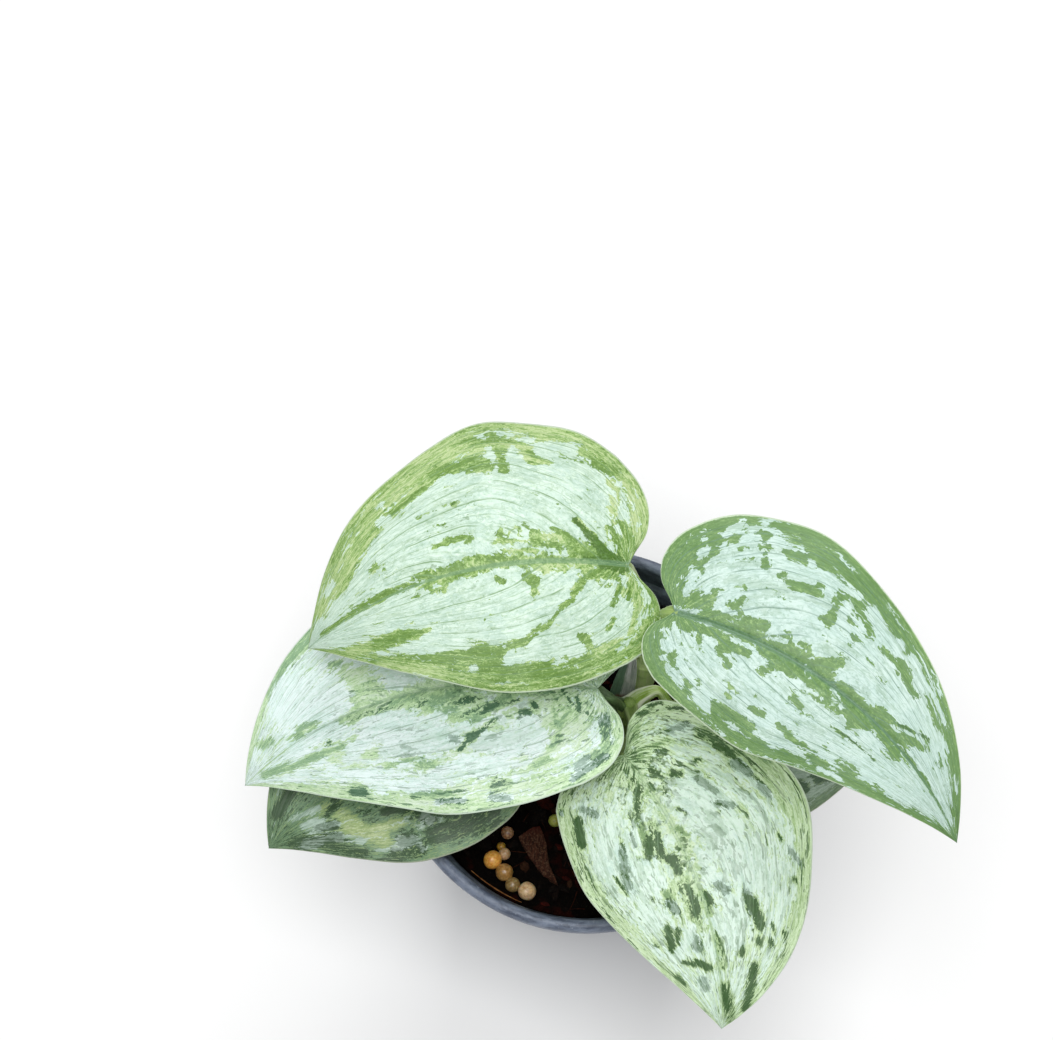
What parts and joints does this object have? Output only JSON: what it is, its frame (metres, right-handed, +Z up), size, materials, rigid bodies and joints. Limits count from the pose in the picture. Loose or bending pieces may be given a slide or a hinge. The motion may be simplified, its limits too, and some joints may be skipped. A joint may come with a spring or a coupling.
{
  "type": "satin pothos",
  "caption": "Satin pothos with silver-splashed heart-shaped leaves, rooted in dark potting mix in a round plastic nursery pot.",
  "frame": {"origin": "centre of the pot's underside, on the surface that it stands on", "axes": "+Z up the pot's axis; +X to the right and -Y towards the viewer in the view from the front"},
  "size_m": [0.1495, 0.1296, 0.134],
  "materials": {
    "pot_plastic": "satin, finely textured",
    "potting_mix": "rough, damp",
    "bark": "rough",
    "prill_amber": "smooth resin coat",
    "prill_tan": "smooth resin coat",
    "prill_green": "smooth resin coat",
    "stem_green": "smooth, slightly waxy",
    "petiole_green": "smooth, slightly waxy",
    "sheath_brown": "dry and papery",
    "blade_lime": "satin, silver patches on lime green",
    "blade_silver": "satin, silver with green streaks",
    "blade_deep": "satin, dark green with grey silver patches",
    "blade_green": "satin, silver patches on mid green"
  },
  "bodies": {
    "root": {"pot": "pot_plastic", "potting_mix": "potting_mix", "bark_chip": "bark", "fertiliser_prills": "prill_amber", "fertiliser_prill_tan": "prill_tan", "fertiliser_prill_green": "prill_green", "dried_sheath": "sheath_brown", "vine_stem_back": "stem_green", "vine_stem_front": "stem_green", "petiole_back": "petiole_green", "leaf_blade_back": "blade_lime", "petiole_left": "petiole_green", "leaf_blade_left": "blade_silver", "petiole_low_left": "petiole_green", "leaf_blade_low_left": "blade_deep", "petiole_front": "petiole_green", "leaf_blade_front": "blade_silver", "petiole_right": "petiole_green", "leaf_blade_right": "blade_green", "petiole_low_right": "petiole_green", "leaf_blade_low_right": "blade_deep"}
  },
  "joints": []
}
